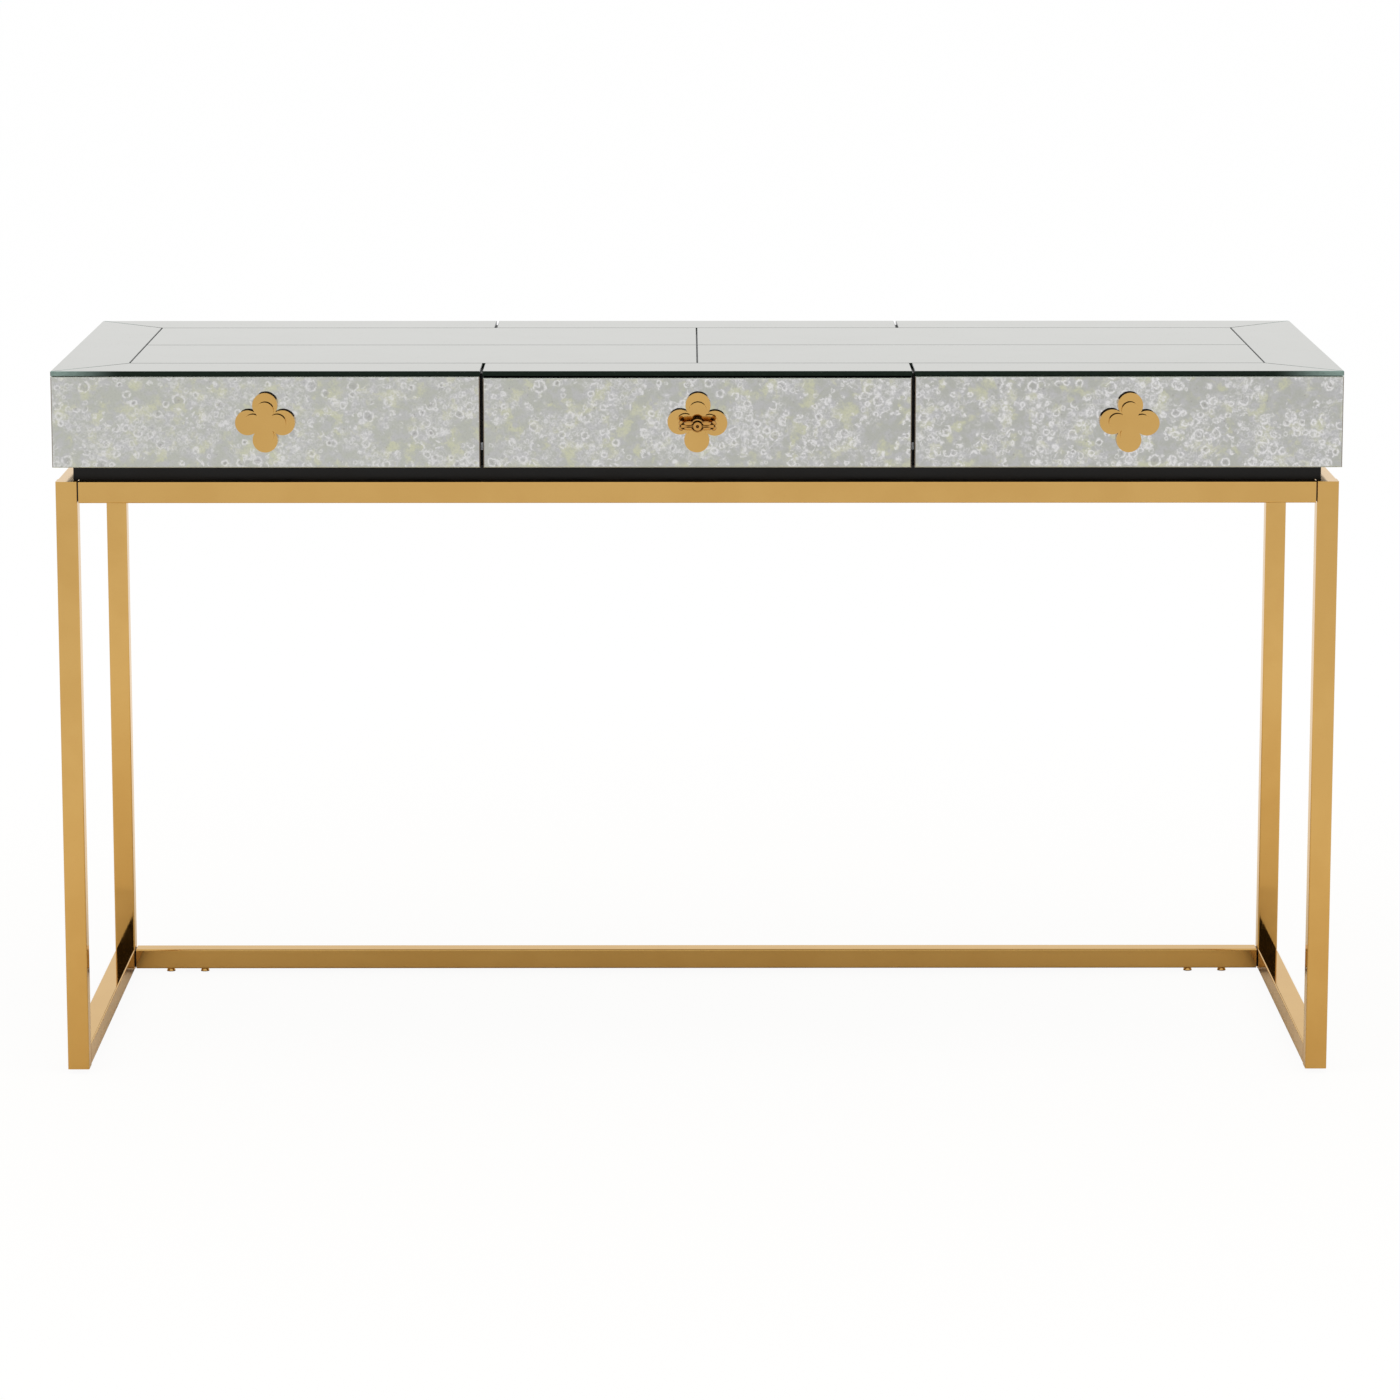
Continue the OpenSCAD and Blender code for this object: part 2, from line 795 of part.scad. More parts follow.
// Bow of the key: a plate between two rows of rings and end beads
module bow_rows() {
    bead_x = bow_w / 2 - bead_r;
    ring_x = bead_x - bead_r + bead_sink - bow_depth / 2;
    for (row = [-1, 1], side = [-1, 1])
        translate([0, 0, row * bead_row]) {
            translate([side * ring_x, 0, 0]) wire_ring(bow_ring_r, bow_wire_r);
            translate([side * bead_x, 0, 0]) sphere(bead_r);
        }
    linear_extrude(bow_plate_t, center = true)
        difference() {
            square([2 * bead_x, 2 * bow_ring_r], center = true);
            for (side = [-1, 1])
                translate([side * ring_x, 0]) circle(bow_ring_r - bow_wire_r);
        }
}

// Boss in the middle of the bow, dimpled in front, with a ring round it
module bow_boss() {
    rotate([90, 0, 0]) {
        difference() {
            cylinder(d = boss_d, h = bow_depth, center = true);
            translate([0, 0, bow_depth / 2 - boss_dimple_depth])
                cylinder(d = boss_dimple_d, h = boss_dimple_depth + cut);
        }
        wire_ring(boss_ring_r, boss_wire_r);
    }
}

module key() {
    y_plate = y_glass - knob_t - cap_t;
    y_bow = y_glass - key_out + bow_depth / 2;
    color(BRASS)
        translate([0, 0, z_knob]) {
            translate([0, y_bow, 0]) {
                bow_rows();
                bow_boss();
            }
            translate([0, y_bow, 0])
                rotate([-90, 0, 0])
                    cylinder(d = key_shaft_d, h = key_end - y_bow);
            translate([0, y_plate - key_collar_gap, 0])
                rotate([90, 0, 0])
                    cylinder(d = key_collar_d, h = key_collar_t);
            block([-bit_reach, bolt_y - bit_w / 2, -bit_t / 2], [0, bolt_y + bit_w / 2, bit_t / 2]);
        }
}

leg_front_left();
leg_front_right();
leg_rear_left();
leg_rear_right();
side_rail_left();
side_rail_right();
floor_runner_left();
floor_runner_right();
front_rail();
rear_rail();
rear_stretcher();
rail_stubs();
frame_screws();
glides();
plinth();
bottom_board();
top_board();
side_board_left();
side_board_right();
back_board();
divider_left();
divider_right();
front_bumpers();
top_end_left();
top_end_right();
top_front_left();
top_front_middle();
top_front_right();
top_rear_left();
top_rear_middle();
top_rear_right();
top_field_panes();
side_mirror_left();
side_mirror_right();
cabinet_slides();
drawer_left_front();
drawer_left_mirror();
drawer_left_knob();
drawer_left_sides();
drawer_left_back();
drawer_left_bottom();
drawer_left_slides();
drawer_middle_front();
drawer_middle_mirror();
drawer_middle_knob();
drawer_middle_sides();
drawer_middle_back();
drawer_middle_bottom();
drawer_middle_slides();
drawer_right_front();
drawer_right_mirror();
drawer_right_knob();
drawer_right_sides();
drawer_right_back();
drawer_right_bottom();
drawer_right_slides();
lock_case();
lock_bolt();
lock_strike();
key();
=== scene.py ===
"""Looks for a three-drawer vanity desk clad in antiqued mirror, on a polished brass frame."""

import math

import bpy
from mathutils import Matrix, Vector


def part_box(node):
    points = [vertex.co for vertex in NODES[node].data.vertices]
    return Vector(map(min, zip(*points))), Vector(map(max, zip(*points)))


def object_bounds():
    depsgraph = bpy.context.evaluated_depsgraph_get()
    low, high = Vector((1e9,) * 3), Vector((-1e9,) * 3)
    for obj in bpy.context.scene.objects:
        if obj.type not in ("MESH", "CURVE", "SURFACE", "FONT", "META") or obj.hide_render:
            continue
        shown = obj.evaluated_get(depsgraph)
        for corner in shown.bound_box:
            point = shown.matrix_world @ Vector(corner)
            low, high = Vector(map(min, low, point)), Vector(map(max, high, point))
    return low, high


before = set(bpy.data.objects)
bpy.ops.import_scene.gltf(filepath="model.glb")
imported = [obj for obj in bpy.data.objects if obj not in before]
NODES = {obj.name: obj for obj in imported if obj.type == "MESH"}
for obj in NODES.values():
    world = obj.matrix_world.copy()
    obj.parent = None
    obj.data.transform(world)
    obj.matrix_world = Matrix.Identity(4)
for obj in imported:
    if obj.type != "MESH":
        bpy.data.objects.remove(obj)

CAD_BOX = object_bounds()
MM = 0.001

# ---- Camera: eye level of a standing person, a long lens, looking a little down ----
LENS_MM = 133.3
SENSOR_MM = 36.0
CAMERA_AHEAD = 5.47
CAMERA_HEIGHT = 1.397
CAMERA_SIDE = -0.013
CAMERA_PITCH = math.radians(10.2)
CAMERA_TURN = math.radians(-0.165)

# ---- Light ----
STUDIO_LIGHT = 1.05
BACKDROP_LIGHT = 1.0
LIGHT_RISE = (0.05, 0.7)
# The patch of dark behind the photographer: its brightness, and where it fades out at the sides, foot
# and head, as parts of a direction
DARK_PATCH = 0.03
PATCH_AHEAD = (0.0, 0.4)
PATCH_ASIDE = (0.24, 0.42)
PATCH_FOOT = (-0.04, 0.01)
PATCH_HEAD = (0.24, 0.38)
SOFTBOX_PLACE = (0.0, -0.6, 2.6)
SOFTBOX_WIDTH = 2.6
SOFTBOX_DEPTH = 0.9
SOFTBOX_WATTS = 22.0
FLOOR_REACH = 60.0
FLOOR_GLOW = 0.94
FLOOR_PALE = (0.94, 0.94, 0.94, 1.0)
# Painted shade and warm bounce light on the floor near the desk, and the distances over which it fades out
FLOOR_PAINTED_SHADE = (0.78, 0.71, 0.58, 1.0)
PAINTED_SHADE_REACH = (0.5, 2.4)


def srgb(red, green, blue):
    """A colour as seen on a screen, 0 to 255, as the linear colour that a shader takes."""
    def linear(part):
        part /= 255
        return part / 12.92 if part <= 0.04045 else ((part + 0.055) / 1.055) ** 2.4
    return (linear(red), linear(green), linear(blue), 1.0)


class Graph:
    """A node tree under construction. Each method adds a node and returns its output."""

    def __init__(self, tree):
        self.tree = tree
        tree.nodes.clear()

    def add(self, kind, inputs=(), **settings):
        node = self.tree.nodes.new(kind)
        for name, value in settings.items():
            setattr(node, name, value)
        for socket, value in dict(inputs).items():
            self.put(node.inputs[socket], value)
        return node

    def put(self, socket, value):
        if isinstance(value, bpy.types.NodeSocket):
            self.tree.links.new(value, socket)
        else:
            socket.default_value = value

    def coordinate(self, name):
        return self.add("ShaderNodeTexCoord").outputs[name]

    def parts(self, vector):
        return self.add("ShaderNodeSeparateXYZ", {0: vector}).outputs

    def maths(self, operation, a, b=0.0, c=0.0):
        node = self.add("ShaderNodeMath", {0: a, 1: b, 2: c}, operation=operation)
        return node.outputs[0]

    def times(self, a, b):
        return self.maths("MULTIPLY", a, b)

    def size(self, a):
        return self.maths("ABSOLUTE", a)

    def largest(self, first, *others):
        for other in others:
            first = self.maths("MAXIMUM", first, other)
        return first

    def stretch(self, vector, factors):
        node = self.add("ShaderNodeVectorMath", {0: vector, 1: factors}, operation="MULTIPLY")
        return node.outputs[0]

    def warp(self, vector, size, reach):
        """The vector pushed about by noise of that feature size, by up to reach."""
        shift = self.add("ShaderNodeTexNoise", {"Vector": vector, "Scale": 1 / size, "Detail": 2.0})
        centred = self.add("ShaderNodeVectorMath", {0: shift.outputs["Color"], 1: (0.5, 0.5, 0.5)},
                           operation="SUBTRACT")
        moved = self.add("ShaderNodeVectorMath",
                         {0: centred.outputs[0], 1: (2 * reach,) * 3, 2: vector},
                         operation="MULTIPLY_ADD")
        return moved.outputs[0]

    def noise(self, vector, size, detail=2.0, roughness=0.5):
        node = self.add("ShaderNodeTexNoise", {"Vector": vector, "Scale": 1 / size, "Detail": detail,
                                               "Roughness": roughness})
        return node.outputs["Fac"]

    def cells(self, vector, size):
        """Distance to the nearest cell's middle, as a share of size, and two random numbers of the cell."""
        node = self.add("ShaderNodeTexVoronoi", {"Vector": vector, "Scale": 1 / size})
        draws = self.add("ShaderNodeSeparateColor", {0: node.outputs["Color"]})
        return node.outputs["Distance"], draws.outputs[0], draws.outputs[1]

    def ramp(self, value, low, high, start=0.0, end=1.0):
        """start below low, end above high, and a smooth change between."""
        node = self.add("ShaderNodeMapRange", {0: value, 1: low, 2: high, 3: start, 4: end},
                        interpolation_type="SMOOTHSTEP")
        return node.outputs[0]

    def mix(self, share, a, b):
        node = self.add("ShaderNodeMix", data_type="RGBA", clamp_factor=True)
        self.put(node.inputs[0], share)
        self.put(node.inputs[6], a)
        self.put(node.inputs[7], b)
        return node.outputs[2]

    def bump(self, height, depth, strength=1.0):
        node = self.add("ShaderNodeBump", {"Height": height, "Distance": depth, "Strength": strength})
        return node.outputs[0]


class Finish(Graph):
    """A material with one Principled shader."""

    def __init__(self, name):
        self.material = bpy.data.materials.new(name)
        self.material.use_nodes = True
        super().__init__(self.material.node_tree)
        self.shader = self.add("ShaderNodeBsdfPrincipled")
        self.output = self.add("ShaderNodeOutputMaterial")
        self.tree.links.new(self.shader.outputs[0], self.output.inputs[0])
        self.place = self.coordinate("Object")

    def set(self, **values):
        """Sets the shader's inputs: base_color is Base Color, coat_ior is Coat IOR."""
        for name, value in values.items():
            self.put(self.shader.inputs[name.replace("_", " ").title().replace("Ior", "IOR")], value)


# ---- Mirror glass ----
SILVER_FRONT = srgb(180, 182, 173)
SILVER_LINE = srgb(227, 226, 227)
SILVER_CLOUD = srgb(187, 186, 192)
SILVER_YELLOW = srgb(205, 206, 166)
# The next colour is the darker silver of the grain, ring insides and arris chips, and also the painted
# shade of a light falloff across the front
SILVER_SHADE = srgb(163, 163, 160)
SILVER_SPECK = srgb(136, 130, 130)
SILVER_TOP = srgb(177, 180, 176)
SILVER_TOP_CLOUD = srgb(172, 175, 170)
SILVER_GRAZING = (0.89, 0.885, 0.87, 1.0)
GLASS_EDGE = srgb(12, 24, 16)
GLASS_BACKING = srgb(96, 60, 36)
EDGE_FROST = srgb(34, 46, 38)
# The next colour is a painted reflection of brighter surroundings on the ground edge, near the ends of the
# top
EDGE_PAINTED_REFLECTION = srgb(122, 142, 136)
ARRIS = srgb(186, 191, 180)
ARRIS_BROWN = srgb(92, 66, 48)
# How near a polygon of a pane lies to the desk's outline to count as silvered
SKIN = 0.1 * MM
# How much of a polygon's normal lies along one axis where it counts as square to that axis
SQUARE_ON = 0.95
# Rings in the silvering: size of a cell, width of the line, share of the cells with a ring outside
# and inside the clusters
WIDE_RINGS = (16 * MM, 2.2 * MM, 0.10, 0.45)
SMALL_RINGS = (11 * MM, 1.9 * MM, 0.14, 0.65)
TINY_RINGS = (6.5 * MM, 1.5 * MM, 0.08, 0.75)


def ring_layer(g, place, clusters, cell, line, loose, gathered):
    """Soft rings, each in one cell of a share of the cells. Returns their lines, insides and middles."""
    share = g.ramp(clusters, 0.0, 1.0, loose, gathered)
    distance, radius_draw, chance = g.cells(place, cell)
    radius = g.ramp(radius_draw, 0.0, 1.0, 0.24, 0.40)
    beyond = g.maths("SUBTRACT", distance, radius)
    outline = g.ramp(g.size(beyond), 0.0, line / cell, 1.0, 0.0)
    inside = g.ramp(beyond, -line / cell, 0.0, 1.0, 0.0)
    middle = g.ramp(distance, 0.04, 0.15, 1.0, 0.0)
    chosen = g.maths("GREATER_THAN", g.maths("ADD", chance, share), 1.0)
    return g.times(outline, chosen), g.times(inside, chosen), g.times(middle, chosen)


def curl_layer(g, place, size, line):
    """Curling lines, where a noise passes its middle value."""
    away = g.size(g.maths("SUBTRACT", g.noise(place, size, 2.0), 0.5))
    return g.ramp(away, 0.0, line, 1.0, 0.0)


def antique_mirror():
    """Silvering eaten into clusters of soft rings, short curls and yellow clouds, behind clear glass."""
    g = Finish("antique_mirror")
    across = g.parts(g.place)
    flat = g.add("ShaderNodeCombineXYZ", {0: g.maths("ADD", across[0], across[1]), 1: across[2]}).outputs[0]
    place = g.warp(g.warp(flat, 6 * MM, 2.0 * MM), 2.0 * MM, 0.8 * MM)
    clusters = g.ramp(g.noise(g.warp(flat, 12 * MM, 6 * MM), 40 * MM, 3.0, 0.6), 0.41, 0.55)
    broken = g.ramp(g.noise(flat, 3.5 * MM, 2.0, 0.6), 0.36, 0.54, 0.3, 1.0)
    wide, wide_inside, wide_middle = ring_layer(g, place, clusters, *WIDE_RINGS)
    small, small_inside, small_middle = ring_layer(
        g, g.stretch(place, (1.0, 1.05, 1.0)), clusters, *SMALL_RINGS)
    tiny, _, _ = ring_layer(g, g.stretch(place, (1.04, 1.0, 1.0)), clusters, *TINY_RINGS)
    curls = g.times(curl_layer(g, g.warp(flat, 3 * MM, 1.2 * MM), 5.5 * MM, 0.09), clusters)
    marks = g.times(g.largest(wide, small, g.times(tiny, 0.75), g.times(curls, 0.45)), broken)
    insides = g.largest(wide_inside, small_inside)
    clouds = g.noise(g.warp(flat, 8 * MM, 3 * MM), 11 * MM, 3.0, 0.55)
    grain = g.noise(flat, 2.2 * MM, 2.0, 0.6)
    yellow = g.ramp(g.noise(g.warp(flat, 10 * MM, 6 * MM), 21 * MM, 3.0, 0.6), 0.50, 0.66)
    distance, _, chance = g.cells(g.warp(flat, 3 * MM, 1 * MM), 7 * MM)
    specks = g.times(g.ramp(distance, 0.06, 0.2, 1.0, 0.0), g.maths("GREATER_THAN", chance, 0.8))

    # Painted shade: the silver darkens from left to right across the desk, a light falloff painted into the
    # colour
    colour = g.mix(g.ramp(across[0], -0.5, 0.3, 0.0, 0.4), SILVER_FRONT, SILVER_SHADE)
    colour = g.mix(g.ramp(clouds, 0.42, 0.64, 0.0, 0.5), colour, SILVER_CLOUD)
    colour = g.mix(g.times(yellow, 0.55), colour, SILVER_YELLOW)
    colour = g.mix(g.ramp(grain, 0.46, 0.70, 0.0, 0.4), colour, SILVER_SHADE)
    colour = g.mix(g.times(clusters, 0.15), colour, SILVER_CLOUD)
    colour = g.mix(g.times(insides, 0.45), colour, SILVER_SHADE)
    colour = g.mix(g.times(g.largest(specks, wide_middle, small_middle), 0.45), colour, SILVER_SPECK)
    colour = g.mix(g.times(marks, g.ramp(across[0], -0.4, 0.4, 0.68, 0.85)), colour, SILVER_LINE)
    g.set(base_color=colour, metallic=1.0, roughness=g.ramp(marks, 0.0, 1.0, 0.06, 0.12),
          coat_weight=1.0, coat_roughness=0.02, coat_ior=1.5)
    return g.material


def top_mirror():
    """Lightly clouded mirror, nearly even."""
    g = Finish("top_mirror")
    cloud = g.noise(g.place, 60 * MM, 4.0, 0.6)
    specks = g.ramp(g.noise(g.place, 2.5 * MM, 2.0), 0.66, 0.74)
    silver = g.mix(g.ramp(cloud, 0.35, 0.65, 0.0, 0.5), SILVER_TOP, SILVER_TOP_CLOUD)
    silver = g.mix(g.times(specks, 0.25), silver, SILVER_SPECK)
    g.set(base_color=silver, metallic=1.0, roughness=g.ramp(cloud, 0.3, 0.7, 0.03, 0.07),
          specular_tint=SILVER_GRAZING)
    return g.material


def glass_edge(name, backing, painted_reflection):
    """The ground edge of a pane: green, brown where backed and upright, and paler over the end panes beside
    the mitred corners, where a painted reflection lightens it.

    backing and painted_reflection are the shares of those two tones."""
    g = Finish(name)
    inner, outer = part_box("top_field_panes")[1].x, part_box("top_end_right")[1].x
    # Painted reflection: the edge turns paler over the end panes, standing in for brighter surroundings
    # mirrored in it
    pale = g.ramp(g.size(g.parts(g.place)[0]), inner, outer, 0.0, painted_reflection)
    upright = g.ramp(g.size(g.parts(g.coordinate("Normal"))[0]), 0.6, 0.8, 0.0, backing)
    ground = g.noise(g.stretch(g.place, (0.2, 0.2, 1.0)), 0.8 * MM, 3.0)
    colour = g.mix(upright, g.mix(pale, GLASS_EDGE, EDGE_PAINTED_REFLECTION), GLASS_BACKING)
    g.set(base_color=g.mix(g.ramp(ground, 0.4, 0.7, 0.0, 0.25), colour, EDGE_FROST),
          roughness=g.ramp(ground, 0.3, 0.7, 0.12, 0.3), specular_ior_level=0.08)
    return g.material


def glass_arris():
    """The narrow sloping edge ground along the silvered face, brown from the backing where upright."""
    g = Finish("glass_arris")
    chips = g.noise(g.place, 1.5 * MM, 3.0, 0.6)
    upright = g.ramp(g.size(g.parts(g.coordinate("Normal"))[0]), 0.4, 0.6, 0.0, 0.75)
    chipped = g.mix(g.ramp(chips, 0.5, 0.75, 0.0, 0.5), ARRIS, SILVER_SHADE)
    g.set(base_color=g.mix(upright, chipped, ARRIS_BROWN),
          metallic=0.3, roughness=g.ramp(chips, 0.3, 0.7, 0.12, 0.3))
    return g.material


def dress_pane(name, pane, arris, edge):
    """Keeps the silvering on a pane's outer faces, and gives its arrises and edges their own finish."""
    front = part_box("drawer_middle_mirror")[0].y
    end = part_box("side_mirror_right")[1].x
    lying = name.startswith("top_")
    pane.data.materials.append(arris)
    pane.data.materials.append(edge)
    for polygon in pane.data.polygons:
        place, normal = pane.matrix_world @ polygon.center, polygon.normal
        outer = place.y < front + SKIN or abs(place.x) > end - SKIN
        sloping = max(abs(part) for part in normal) < SQUARE_ON
        silvered = normal.z > SQUARE_ON if lying else outer
        if silvered:
            polygon.material_index = 0
        else:
            polygon.material_index = 1 if sloping and not lying else 2


# ---- Metals ----
BRASS = srgb(202, 162, 96)
BRASS_DEEP = srgb(192, 150, 84)
BRASS_RED = srgb(196, 148, 92)
BRASS_GRAZING = (1.0, 0.92, 0.78, 1.0)
BRASS_KEY = srgb(190, 142, 78)
BRASS_BROWN = srgb(64, 36, 16)
ZINC = srgb(178, 181, 184)
ZINC_DULL = srgb(150, 153, 157)


def brass(name, smooth, scratch_size):
    """Polished brass plating with a faint uneven tone, hairlines and handling haze."""
    g = Finish(name)
    tone = g.noise(g.place, 70 * MM, 3.0, 0.55)
    haze = g.noise(g.place, 18 * MM, 5.0, 0.62)
    hairs = g.noise(g.stretch(g.warp(g.place, 40 * MM, 2 * MM), (1.0, 1.0, 0.06)), scratch_size, 3.0)
    colour = g.mix(g.ramp(tone, 0.35, 0.65, 0.0, 0.35), BRASS, BRASS_DEEP)
    colour = g.mix(g.ramp(haze, 0.55, 0.75, 0.0, 0.12), colour, BRASS_RED)
    g.set(base_color=colour, metallic=1.0,
          roughness=g.ramp(haze, 0.3, 0.75, smooth, smooth + 0.05), specular_tint=BRASS_GRAZING,
          normal=g.bump(hairs, 0.02 * MM, 0.25))
    return g.material


def key_brass():
    """Aged brass: polished on the high spots, brown in the hollows, partly patina and partly painted shade.
    """
    g = Finish("key_brass")
    open_sky = g.add("ShaderNodeAmbientOcclusion", {"Distance": 4 * MM}).outputs["AO"]
    patina = g.noise(g.place, 3 * MM, 4.0, 0.6)
    # Patina and painted shade: ambient occlusion browns the hollows, standing in for patina and for the
    # dark surroundings they reflect
    patina_and_shade = g.ramp(g.maths("ADD", open_sky, g.times(patina, 0.3)), 0.70, 1.15, 1.0, 0.0)
    g.set(base_color=g.mix(patina_and_shade, BRASS_KEY, BRASS_BROWN), metallic=1.0,
          roughness=g.ramp(patina, 0.3, 0.7, 0.06, 0.16))
    return g.material


def zinc():
    """Zinc-plated sheet with a soft spangle."""
    g = Finish("slide_steel")
    _, shade, _ = g.cells(g.place, 4 * MM)
    wear = g.noise(g.stretch(g.place, (1.0, 0.08, 1.0)), 3 * MM, 4.0)
    colour = g.mix(g.ramp(shade, 0.0, 1.0, 0.0, 0.5), ZINC, ZINC_DULL)
    g.set(base_color=colour, metallic=1.0,
          roughness=g.ramp(wear, 0.3, 0.7, 0.26, 0.42),
          normal=g.bump(wear, 0.03 * MM, 0.4))
    return g.material


# ---- Wood and lacquer ----
LACQUER = srgb(13, 11, 9)
LACQUER_WORN = srgb(20, 17, 14)
DUST = srgb(120, 116, 110)
BIRCH = srgb(226, 203, 164)
BIRCH_FIGURE = srgb(205, 176, 132)
BIRCH_PORES = srgb(168, 134, 92)
# How far the figure and pores are drawn out along the grain, as a scale
BIRCH_DRAWN_OUT = 0.045


def lacquer():
    """Satin black lacquer with a light orange peel, worn patches and a little dust."""
    g = Finish("black_lacquer")
    peel = g.noise(g.place, 1.6 * MM, 2.0)
    cloud = g.noise(g.place, 45 * MM, 4.0, 0.6)
    dust = g.ramp(g.noise(g.place, 0.9 * MM, 1.0), 0.7, 0.78)
    colour = g.mix(g.ramp(cloud, 0.3, 0.7), LACQUER, LACQUER_WORN)
    colour = g.mix(g.times(dust, 0.08), colour, DUST)
    g.set(base_color=colour,
          roughness=g.ramp(cloud, 0.3, 0.7, 0.28, 0.4),
          specular_ior_level=0.22,
          normal=g.bump(peel, 0.02 * MM, 0.5))
    return g.material


def birch(name, grain):
    """Birch with its grain along one axis, fine figure and open pores."""
    g = Finish(name)
    squeeze = [1.0, 1.0, 1.0]
    squeeze["XYZ".index(grain)] = BIRCH_DRAWN_OUT
    lined = g.stretch(g.warp(g.place, 120 * MM, 8 * MM), squeeze)
    figure = g.noise(lined, 9 * MM, 4.0, 0.6)
    pores = g.ramp(g.noise(lined, 1.1 * MM, 2.0), 0.62, 0.74)
    colour = g.mix(g.ramp(figure, 0.3, 0.7), BIRCH, BIRCH_FIGURE)
    colour = g.mix(g.times(pores, 0.5), colour, BIRCH_PORES)
    g.set(base_color=colour,
          roughness=g.ramp(figure, 0.3, 0.7, 0.42, 0.55),
          normal=g.bump(pores, 0.08 * MM, 0.6))
    return g.material


def dress_nodes():
    """Gives every CAD node the finish of its material slot."""
    finishes = {
        "antique_mirror": antique_mirror(),
        "top_mirror": top_mirror(),
        "frame_brass": brass("frame_brass", 0.04, 1.2 * MM),
        "hardware_brass": brass("hardware_brass", 0.05, 0.8 * MM),
        "black_lacquer": lacquer(),
        "drawer_birch": birch("drawer_birch", "X"),
        "slide_steel": zinc(),
    }
    special = {name: birch("drawer_birch_sides", "Y") for name in NODES if name.endswith("_sides")}
    special["key"] = key_brass()
    special["rail_stubs"] = finishes["black_lacquer"]
    arris = glass_arris()
    edges = {finishes["top_mirror"]: glass_edge("glass_edge", 0.0, 1.0),
             finishes["antique_mirror"]: glass_edge("backed_edge", 1.0, 0.0)}
    for name, node in NODES.items():
        for slot in node.material_slots:
            slot.material = special.get(name) or finishes[slot.material.name.split(".")[0]]
        if node.data.materials[0] in edges:
            dress_pane(name, node, arris, edges[node.data.materials[0]])


# ---- Studio ----
def studio_world():
    """Soft light all round, and a dark patch in front that shows only in reflections of reflections."""
    world = bpy.data.worlds.new("studio")
    world.use_nodes = True
    bpy.context.scene.world = world
    g = Graph(world.node_tree)
    direction = g.parts(g.coordinate("Generated"))
    level = g.ramp(direction[2], *LIGHT_RISE, BACKDROP_LIGHT, STUDIO_LIGHT)
    ahead = g.ramp(g.times(direction[1], -1.0), *PATCH_AHEAD)
    aside = g.ramp(g.size(direction[0]), *PATCH_ASIDE, 1.0, 0.0)
    low = g.times(g.ramp(direction[2], *PATCH_FOOT), g.ramp(direction[2], *PATCH_HEAD, 1.0, 0.0))
    dark = g.times(g.times(ahead, aside), low)
    path = g.add("ShaderNodeLightPath").outputs
    twice = g.maths("GREATER_THAN", path["Glossy Depth"], 1.5)
    brightness = g.times(level, g.ramp(g.times(dark, twice), 0.0, 1.0, 1.0, DARK_PATCH))
    light = g.add("ShaderNodeBackground", {"Color": (1.0, 1.0, 1.0, 1.0), "Strength": brightness})
    plain = g.add("ShaderNodeBackground", {"Color": (1.0, 1.0, 1.0, 1.0), "Strength": 1.0})
    both = g.add("ShaderNodeMixShader", {0: path["Is Camera Ray"], 1: light.outputs[0],
                                         2: plain.outputs[0]})
    output = g.add("ShaderNodeOutputWorld")
    g.tree.links.new(both.outputs[0], output.inputs[0])


def softbox(name, place, target, width, depth, watts):
    """An area light that faces a point and isn't itself mirrored in the desk."""
    data = bpy.data.lights.new(name, "AREA")
    data.shape = "RECTANGLE"
    data.size, data.size_y, data.energy = width, depth, watts
    light = bpy.data.objects.new(name, data)
    bpy.context.scene.collection.objects.link(light)
    light.location = place
    light.visible_glossy = False
    light.rotation_mode = "QUATERNION"
    light.rotation_quaternion = (target - place).to_track_quat("-Z", "Y")


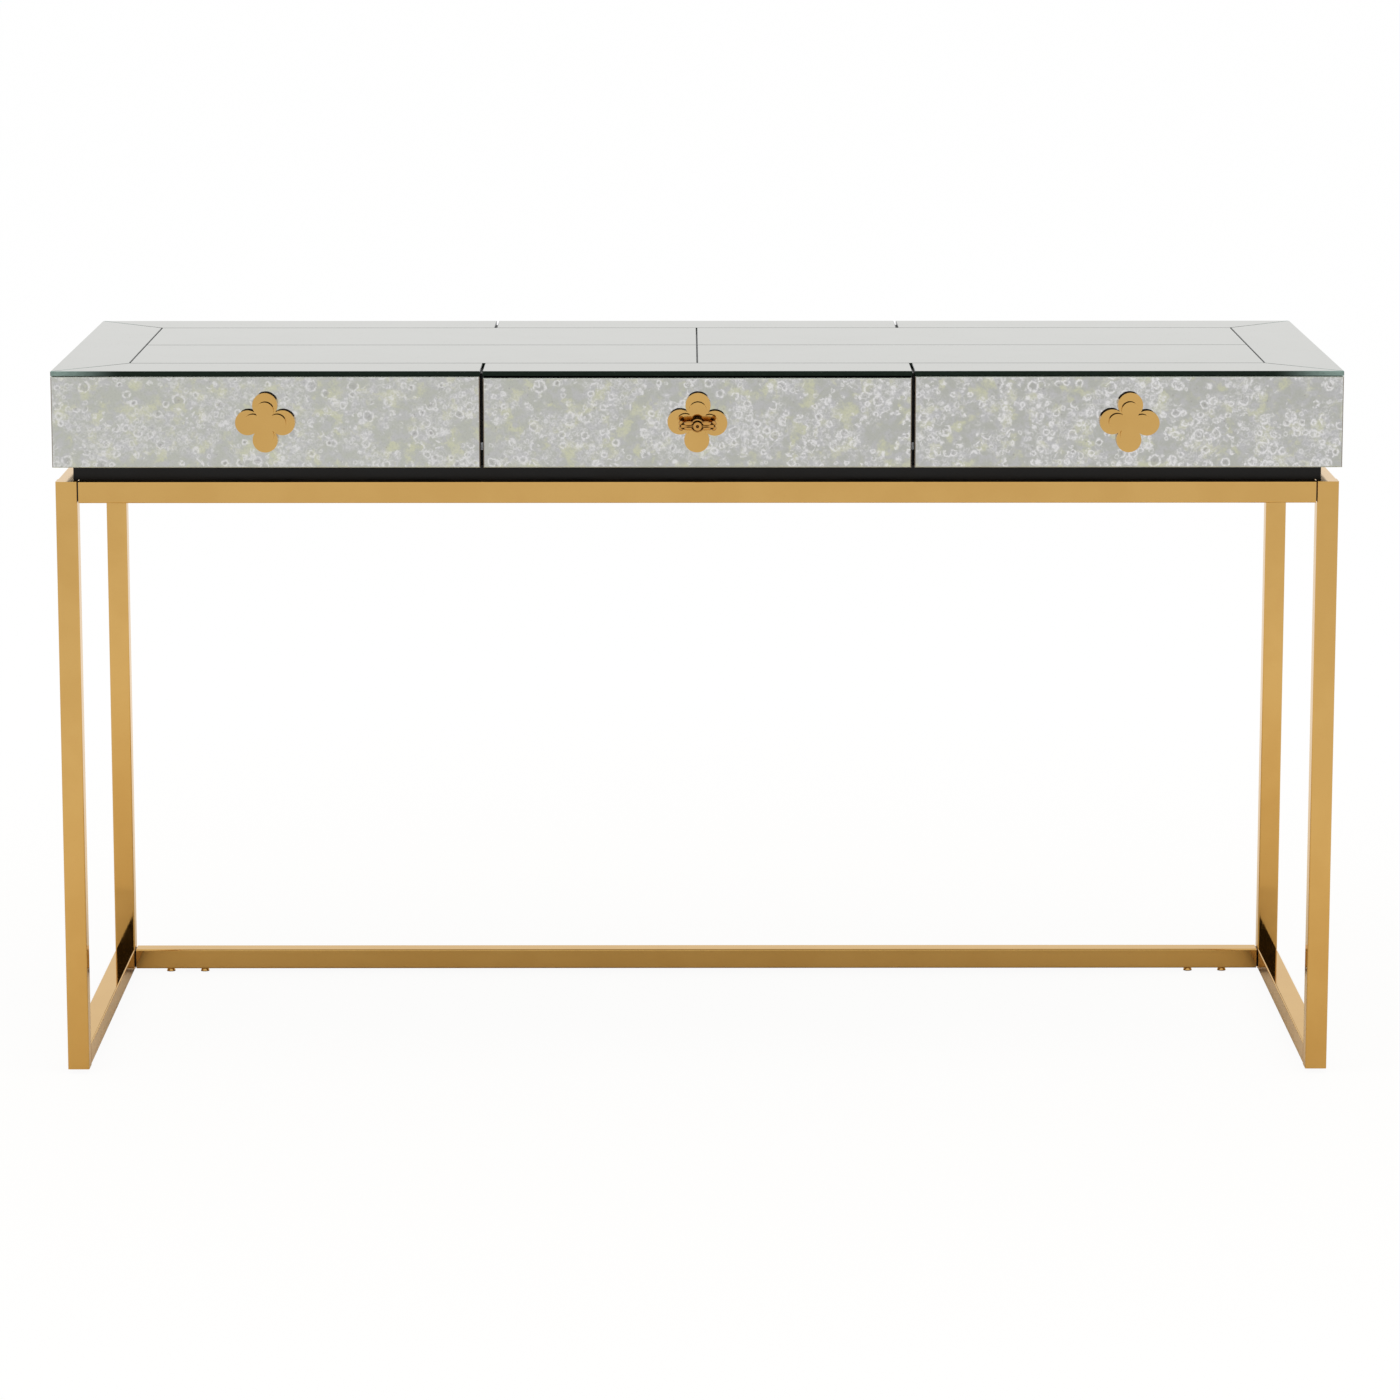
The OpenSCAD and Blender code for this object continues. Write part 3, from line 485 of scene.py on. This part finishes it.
def studio_floor():
    """A wide pale floor at the desk's lowest point, with painted shade and warm painted bounce light near
    the desk that show in reflections, glowing to near white for the camera.
    """
    r, level = FLOOR_REACH, CAD_BOX[0].z
    mesh = bpy.data.meshes.new("floor")
    corners = [(-r, -r, level), (r, -r, level), (r, r, level), (-r, r, level)]
    mesh.from_pydata(corners, [], [(0, 1, 2, 3)])
    floor = bpy.data.objects.new("floor", mesh)
    bpy.context.scene.collection.objects.link(floor)
    g = Finish("studio_floor")
    away = g.add("ShaderNodeVectorMath", {0: g.place}, operation="LENGTH").outputs["Value"]
    tone = g.times(g.noise(g.place, 0.4, 3.0), 0.1)
    # Painted shade: the floor darkens and warms towards the desk, with a random tone added, so the brass
    # and mirrors reflect a shaded floor
    painted_shade_and_tone = g.maths("ADD", g.ramp(away, *PAINTED_SHADE_REACH, 1.0, 0.0), tone)
    g.set(base_color=g.mix(painted_shade_and_tone, FLOOR_PALE, FLOOR_PAINTED_SHADE), roughness=0.9, specular_ior_level=0.1)
    seen = g.times(g.add("ShaderNodeLightPath").outputs["Is Camera Ray"], FLOOR_GLOW)
    glow = g.add("ShaderNodeEmission", {"Color": (1.0, 1.0, 1.0, 1.0), "Strength": 1.0})
    both = g.add("ShaderNodeMixShader", {0: seen, 1: g.shader.outputs[0], 2: glow.outputs[0]})
    g.tree.links.new(both.outputs[0], g.output.inputs[0])
    mesh.materials.append(g.material)


def camera():
    """The camera, placed from the desk's front face."""
    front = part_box("drawer_middle_mirror")[0].y
    data = bpy.data.cameras.new("camera")
    data.lens, data.sensor_width = LENS_MM, SENSOR_MM
    data.clip_end = 2 * FLOOR_REACH
    eye = bpy.data.objects.new("camera", data)
    bpy.context.scene.collection.objects.link(eye)
    eye.location = (CAMERA_SIDE, front - CAMERA_AHEAD, CAMERA_HEIGHT)
    eye.rotation_euler = (math.pi / 2 - CAMERA_PITCH, 0.0, CAMERA_TURN)
    bpy.context.scene.camera = eye


def light_studio():
    """One softbox overhead, and colours shown without a film curve."""
    middle = (CAD_BOX[0] + CAD_BOX[1]) / 2
    softbox("overhead", Vector(SOFTBOX_PLACE), middle, SOFTBOX_WIDTH, SOFTBOX_DEPTH, SOFTBOX_WATTS)
    bpy.context.scene.view_settings.view_transform = "Standard"


dress_nodes()
studio_world()
studio_floor()
light_studio()
camera()
